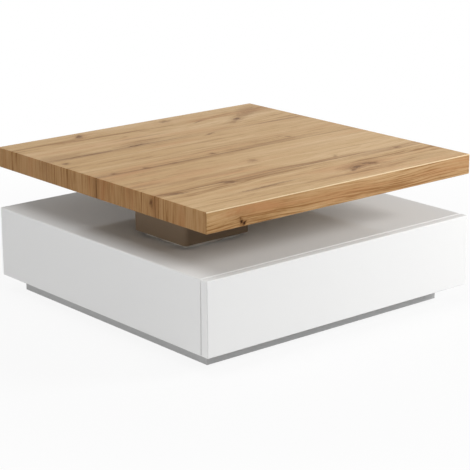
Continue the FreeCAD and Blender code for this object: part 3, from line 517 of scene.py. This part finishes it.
tonedLooks = {
    "white_gloss": {
        "colour": rgb(0.86, 0.86, 0.855), "cloudSize": 0.35, "cloud": 0.02,
        "grainSize": 0.0025, "grain": 0.006, "bump": 0.02, "depth": 0.0001,
        "roughness": 0.07, "glossSpread": 0.03, "specular": 0.03},
    "plinth_grey": {
        "colour": rgb(0.51, 0.51, 0.508), "cloudSize": 0.12, "cloud": 0.05,
        "grainSize": 0.0006, "grain": 0.10, "bump": 0.15, "depth": 0.0001,
        "roughness": 0.38, "glossSpread": 0.10},
    "pedestal_grey": {
        "colour": rgb(0.196, 0.140, 0.092), "cloudSize": 0.08, "cloud": 0.06,
        "grainSize": 0.0012, "grain": 0.06, "bump": 0.12, "depth": 0.0002,
        "roughness": 0.35, "glossSpread": 0.08, "specular": 0.08},
    "underside": {
        "colour": rgb(0.48, 0.39, 0.30), "cloudSize": 0.15, "cloud": 0.08,
        "grainSize": 0.0015, "grain": 0.08, "bump": 0.2, "depth": 0.0001,
        "roughness": 0.6, "glossSpread": 0.10},
    "drawer_white": {
        "colour": rgb(0.76, 0.76, 0.74), "cloudSize": 0.2, "cloud": 0.03,
        "grainSize": 0.0008, "grain": 0.04, "bump": 0.25, "depth": 0.0001,
        "roughness": 0.5, "glossSpread": 0.08},
    "runner_white": {
        "colour": rgb(0.78, 0.78, 0.75), "cloudSize": 0.05, "cloud": 0.04,
        "grainSize": 0.0007, "grain": 0.05, "bump": 0.3, "depth": 0.0001,
        "roughness": 0.32, "glossSpread": 0.10},
    "nylon": {
        "colour": rgb(0.78, 0.77, 0.72), "cloudSize": 0.012, "cloud": 0.06,
        "grainSize": 0.0005, "grain": 0.04, "bump": 0.2, "depth": 0.00005,
        "roughness": 0.36, "glossSpread": 0.10},
    "cage_plastic": {
        "colour": rgb(0.035, 0.035, 0.038), "cloudSize": 0.02, "cloud": 0.2,
        "grainSize": 0.0004, "grain": 0.2, "bump": 0.3, "depth": 0.00005,
        "roughness": 0.5, "glossSpread": 0.15},
    "glide_plastic": {
        "colour": rgb(0.026, 0.026, 0.028), "cloudSize": 0.015, "cloud": 0.3,
        "grainSize": 0.0005, "grain": 0.3, "bump": 0.4, "depth": 0.0001,
        "roughness": 0.55, "glossSpread": 0.15},
    "zinc_steel": {
        "colour": rgb(0.62, 0.64, 0.66), "cloudSize": 0.004, "cloud": 0.25,
        "grainSize": 0.0004, "grain": 0.15, "bump": 0.2, "depth": 0.00005,
        "roughness": 0.34, "glossSpread": 0.25, "metallic": 1.0},
    "bearing_steel": {
        "colour": rgb(0.70, 0.70, 0.71), "cloudSize": 0.003, "cloud": 0.06,
        "grainSize": 0.0003, "grain": 0.03, "bump": 0.05, "depth": 0.00002,
        "roughness": 0.10, "glossSpread": 0.06, "metallic": 1.0},
}

# the turntable's foot plate is plain rolled steel
plateLook = {
    "colour": rgb(0.72, 0.68, 0.63), "cloudSize": 0.02, "cloud": 0.25,
    "grainSize": 0.0005, "grain": 0.2, "bump": 0.2, "depth": 0.00005,
    "roughness": 0.42, "glossSpread": 0.15, "metallic": 1.0,
}

# raw particle board: pressed chips of several browns
chipboard = {
    "chipsPerMetre": 320.0, "pale": rgb(0.50, 0.36, 0.20), "brown": rgb(0.34, 0.22, 0.11),
    "dustPerMetre": 900.0, "dust": rgb(0.58, 0.45, 0.28), "dustShare": 0.5,
    "roughness": 0.75, "chipRoughness": 0.15, "bump": 0.4, "depth": 0.0003,
}


def makeChipboard():
    material, tree, shader = newMaterial("rawBoard")
    where = objectPoint(tree)
    chips = put(tree, "TexVoronoi", {"Vector": where, "Scale": chipboard["chipsPerMetre"], "Randomness": 1.0})
    pick = put(tree, "SeparateColor", {"Color": chips.outputs["Color"]}).outputs
    colour = tint(tree, pick[0], chipboard["pale"], chipboard["brown"])
    dust = noise(tree, where, chipboard["dustPerMetre"], 3.0, 0.6)
    dust = calc(tree, "MULTIPLY", dust, chipboard["dustShare"])
    feed(tree, shader["Base Color"], tint(tree, dust, colour, chipboard["dust"]))
    rough = calc(tree, "MULTIPLY_ADD", pick[1], chipboard["chipRoughness"], chipboard["roughness"])
    feed(tree, shader["Roughness"], rough)
    emboss(tree, shader, pick[2], chipboard["bump"], chipboard["depth"])
    return material


# turned beech with the grain along the dowel
beech = {
    "fibresAlong": 60.0, "fibresAcross": 900.0,
    "pale": rgb(0.60, 0.38, 0.20), "dark": rgb(0.46, 0.26, 0.12),
    "roughness": 0.5, "fibreRoughness": 0.2, "bump": 0.3, "depth": 0.0001,
}


def makeBeech():
    material, tree, shader = newMaterial("turnedBeech")
    stretch = (beech["fibresAlong"], beech["fibresAcross"], beech["fibresAcross"])
    where = put(tree, "Mapping", {"Vector": objectPoint(tree), "Scale": stretch}).outputs[0]
    fibre = noise(tree, where, 1.0, 3.0)
    feed(tree, shader["Base Color"], tint(tree, fibre, beech["pale"], beech["dark"]))
    rough = calc(tree, "MULTIPLY_ADD", fibre, beech["fibreRoughness"], beech["roughness"])
    feed(tree, shader["Roughness"], rough)
    emboss(tree, shader, fibre, beech["bump"], beech["depth"])
    return material


# anodised rings with fine lathe lines about the swivel axis
alloy = {
    "linesPerMetre": 5200.0, "cloudsPerMetre": 45.0,
    "dark": rgb(0.46, 0.42, 0.37), "pale": rgb(0.58, 0.53, 0.47),
    "roughness": 0.16, "cloudRoughness": 0.12, "lineRoughness": 0.20, "bump": 0.25, "depth": 0.00005,
}


def makeTurnedAlloy(pivot):
    material, tree, shader = newMaterial("turnedAlloy")
    toAxis = (-pivot[0], -pivot[1], 0.0)
    where = put(tree, "Mapping", {"Vector": objectPoint(tree), "Location": toAxis}).outputs[0]
    place = put(tree, "SeparateXYZ", {"Vector": where}).outputs
    radius = distance(tree, point(tree, place["X"], place["Y"]))
    lines = noise(tree, point(tree, radius, place["Z"]), alloy["linesPerMetre"], 1.0)
    clouds = noise(tree, where, alloy["cloudsPerMetre"], 2.0)
    feed(tree, shader["Base Color"], tint(tree, clouds, alloy["dark"], alloy["pale"]))
    rough = calc(tree, "MULTIPLY_ADD", clouds, alloy["cloudRoughness"], alloy["roughness"])
    feed(tree, shader["Roughness"], calc(tree, "MULTIPLY_ADD", lines, alloy["lineRoughness"], rough))
    emboss(tree, shader, lines, alloy["bump"], alloy["depth"])
    shader["Metallic"].default_value = 1.0
    return material


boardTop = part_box("top_skin")[1].z
oakSheet = makeOakGroup()
toneGroup = makeToneGroup()
oakFinishes = {name: makeOak(name, oakSheet, boardTop, **plan) for name, plan in oakFaces.items()}
finishes = {slot: makeToned(slot, toneGroup, look) for slot, look in tonedLooks.items()}
swivel = next(joint for joint in frame["joints"] if joint["name"] == "top_swivel")
finishes["oak_decor"] = oakFinishes["oakTop"]
finishes["core_board"] = makeChipboard()
finishes["beech"] = makeBeech()
finishes["turntable_alloy"] = makeTurnedAlloy(swivel["pos_m"])
for part in frame["record"]["subparts"]:
    cad[part["node"]].data.materials[0] = finishes[part["material_slot"]]
cad["turntable_plate"].data.materials[0] = makeToned("plateSteel", toneGroup, plateLook)
print("finishes:", len(finishes), "slots")


# new pieces

def addObject(name, data):
    made = bpy.data.objects.new(name, data)
    bpy.context.scene.collection.objects.link(made)
    return made


def addMesh(bm, name, materials):
    mesh = bpy.data.meshes.new(name)
    bm.to_mesh(mesh)
    bm.free()
    for material in materials:
        mesh.materials.append(material)
    return addObject(name, mesh)


def finishPiece(bm, name, materials, body, slot, *nodes):
    bmesh.ops.recalc_face_normals(bm, faces=bm.faces)
    piece = addMesh(bm, name, materials)
    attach(piece, body)
    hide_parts(*nodes)


def roundEdges(bm, edges, radius, segments):
    made = bmesh.ops.bevel(bm, geom=list(edges), offset=radius, segments=segments, profile=0.5,
                           affect="EDGES", material=-1)
    for face in made["faces"]:
        face.smooth = True


def boxBetween(low, high):
    bm = bmesh.new()
    place = Matrix.Translation((low + high) / 2) @ Matrix.Diagonal((*(high - low), 1.0))
    bmesh.ops.create_cube(bm, size=1.0, matrix=place)
    return bm


board = {
    "arris": 0.0022, "arrisSteps": 4,
    "flat": 0.97, "upright": 0.15,  # the upward share of a normal that counts as top, and above which a front-facing normal counts as arris and takes the painted highlight
}


def makeFoldedBoard():
    # the skin and its four edge strips are one folded sheet on board, open below
    low = Vector((*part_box("top_skin")[0].xy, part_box("edge_front")[0].z))
    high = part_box("top_skin")[1]
    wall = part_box("edge_front")[1].y - low.y
    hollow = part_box("top_skin")[0].z - low.z
    bm = boxBetween(low, high)
    bm.normal_update()
    floorFace = [face for face in bm.faces if face.normal.z < -board["flat"]]
    outer = list(bm.edges)
    bmesh.ops.inset_region(bm, faces=floorFace, thickness=wall, use_even_offset=True)
    bmesh.ops.inset_region(bm, faces=floorFace, thickness=0.0, depth=-hollow)
    roundEdges(bm, outer, board["arris"], board["arrisSteps"])
    bm.normal_update()
    materials = list(oakFinishes)
    for face in bm.faces:
        normal = face.normal
        if abs(normal.z) > board["flat"]:
            look = "oakTop"
        elif abs(normal.x) > abs(normal.y):
            look = "oakSideEdge"
        # only the front arris, facing the lamps, takes the painted highlight
        elif normal.y < 0 and normal.z > board["upright"]:
            look = "oakArrisHighlight"
        else:
            look = "oakFrontEdge"
        face.material_index = materials.index(look)
    finishPiece(bm, "foldedBoard", oakFinishes.values(), "tabletop", "oak_decor",
                "top_skin", "edge_front", "edge_back", "edge_left", "edge_right")


carcass = {"arris": 0.0028, "arrisSteps": 4, "touch": 1e-5}


def makeCarcassWrap():
    # top and sides, mitred and lacquered as one
    left, right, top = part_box("carcass_side_left"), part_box("carcass_side_right"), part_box("carcass_top")
    outer = [(left[0].x, left[0].z), (left[0].x, top[1].z), (right[1].x, top[1].z), (right[1].x, right[0].z)]
    inner = [(right[0].x, right[0].z), (right[0].x, top[0].z), (left[1].x, top[0].z), (left[1].x, left[0].z)]
    front, back = top[0].y, top[1].y
    bm = bmesh.new()
    profile = bm.faces.new([bm.verts.new((x, front, z)) for x, z in outer + inner])
    grown = bmesh.ops.extrude_face_region(bm, geom=[profile], use_keep_orig=True)
    moved = [item for item in grown["geom"] if isinstance(item, bmesh.types.BMVert)]
    bmesh.ops.translate(bm, verts=moved, vec=(0.0, back - front, 0.0))
    bmesh.ops.recalc_face_normals(bm, faces=bm.faces)

    def onOutside(vert):
        gaps = (vert.co.x - left[0].x, right[1].x - vert.co.x, top[1].z - vert.co.z)
        return min(gaps) < carcass["touch"]

    roundEdges(bm, [edge for edge in bm.edges if all(onOutside(vert) for vert in edge.verts)],
               carcass["arris"], carcass["arrisSteps"])
    finishPiece(bm, "carcassWrap", [finishes["white_gloss"]], "base", "white_gloss",
                "carcass_top", "carcass_side_left", "carcass_side_right")


drawerFace = {"arris": 0.0024, "arrisSteps": 4}


def makeDrawerFace():
    bm = boxBetween(*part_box("drawer_front"))
    roundEdges(bm, bm.edges, drawerFace["arris"], drawerFace["arrisSteps"])
    finishPiece(bm, "drawerFace", [finishes["white_gloss"]], "drawer", "white_gloss", "drawer_front")


makeFoldedBoard()
makeCarcassWrap()
makeDrawerFace()
print("pieces: folded board, carcass wrap and drawer face")


# camera at the photograph's viewing angle

view = {
    "azimuth": -39.87, "elevation": 16.0, "roll": -0.35,  # degrees
    "distance": 3.958,
    "target": (-0.0552, -0.0796, 0.1828),
    "focalPixels": 1677.0, "framePixels": 470.0, "sensor": 36.0,
}


def makeCamera():
    azimuth, elevation, roll = (math.radians(view[name]) for name in ("azimuth", "elevation", "roll"))
    back = Vector((math.sin(azimuth) * math.cos(elevation), -math.cos(azimuth) * math.cos(elevation),
                   math.sin(elevation)))
    right = Vector((math.cos(azimuth), math.sin(azimuth), 0.0))
    up = back.cross(right)
    turnedRight = right * math.cos(roll) + up * math.sin(roll)
    turnedUp = up * math.cos(roll) - right * math.sin(roll)
    data = bpy.data.cameras.new("photoCamera")
    data.sensor_width = view["sensor"]
    data.lens = view["focalPixels"] / view["framePixels"] * view["sensor"]
    camera = addObject("photoCamera", data)
    turn = Matrix((turnedRight, turnedUp, back)).transposed().to_4x4()
    camera.matrix_world = Matrix.Translation(Vector(view["target"]) + back * view["distance"]) @ turn
    bpy.context.scene.camera = camera


# studio: pale floor, three broad lamps, a strip lamp and an even sky

studio = {
    "sky": 0.26,
    "floorHalf": 8.0, "floorColour": rgb(0.74, 0.74, 0.74),
    "floorGlow": 0.90, "glowFrom": 0.7, "glowFull": 1.7,  # the floor brightens to white away from the table
    "lampDistance": 4.6,
    "unmirrored": "frontRightLamp",  # seen from behind it would glare on the gloss and hide the edges
    "lamps": {
        "frontRightLamp": {"from": (0.68, -0.62, 0.43), "width": 1.5, "height": 1.5, "power": 156.0},
        "highLeftLamp": {"from": (-0.41, -0.08, 0.91), "width": 2.0, "height": 2.0, "power": 56.0},
        "overheadLamp": {"from": (0.0, -0.10, 1.0), "width": 2.2, "height": 2.2, "power": 21.0},
        "floorStrip": {"from": (-0.97, -0.12, 0.07), "width": 2.2, "height": 0.45, "power": 41.0},
    },
}


def seenDirectly(tree):
    # 1 for rays from the camera, a mirror or glass
    ray = put(tree, "LightPath").outputs
    seen = calc(tree, "MAXIMUM", ray["Is Camera Ray"], ray["Is Glossy Ray"])
    return calc(tree, "MAXIMUM", seen, ray["Is Transmission Ray"])


def makeFloor():
    material = bpy.data.materials.new("paleFloor")
    material.use_nodes = True
    tree = material.node_tree
    tree.nodes.remove(tree.nodes["Principled BSDF"])
    matt = put(tree, "BsdfDiffuse", {"Color": studio["floorColour"]})
    glow = put(tree, "Emission", {"Color": pureWhite, "Strength": 1.0})
    away = distance(tree, objectPoint(tree))
    share = fade(tree, away, studio["glowFrom"], studio["glowFull"], studio["floorGlow"], 1.0)
    share = calc(tree, "MULTIPLY", seenDirectly(tree), share)
    mix = put(tree, "MixShader", {0: share, 1: matt.outputs[0], 2: glow.outputs[0]})
    feed(tree, tree.nodes["Material Output"].inputs["Surface"], mix.outputs[0])
    bm = bmesh.new()
    bmesh.ops.create_grid(bm, x_segments=2, y_segments=2, size=studio["floorHalf"])
    floor = addMesh(bm, "floor", [material])


def makeLight():
    world = bpy.data.worlds.new("evenSky")
    bpy.context.scene.world = world
    world.use_nodes = True
    tree = world.node_tree
    light = tree.nodes["Background"]
    light.inputs["Color"].default_value = pureWhite
    light.inputs["Strength"].default_value = studio["sky"]
    seen = put(tree, "Background", {"Color": pureWhite, "Strength": 1.0})
    mix = put(tree, "MixShader", {0: seenDirectly(tree), 1: light.outputs[0], 2: seen.outputs[0]})
    feed(tree, tree.nodes["World Output"].inputs["Surface"], mix.outputs[0])
    for name, plan in studio["lamps"].items():
        data = bpy.data.lights.new(name, "AREA")
        data.shape = "RECTANGLE"
        data.size, data.size_y = plan["width"], plan["height"]
        data.energy = plan["power"]
        lamp = addObject(name, data)
        way = Vector(plan["from"]).normalized()
        lamp.location = way * studio["lampDistance"]
        lamp.rotation_euler = way.to_track_quat("Z", "Y").to_euler()
        lamp.visible_glossy = name != studio["unmirrored"]


makeCamera()
makeFloor()
makeLight()
bpy.context.scene.view_settings.view_transform = "Standard"
print("studio: camera, floor and light")
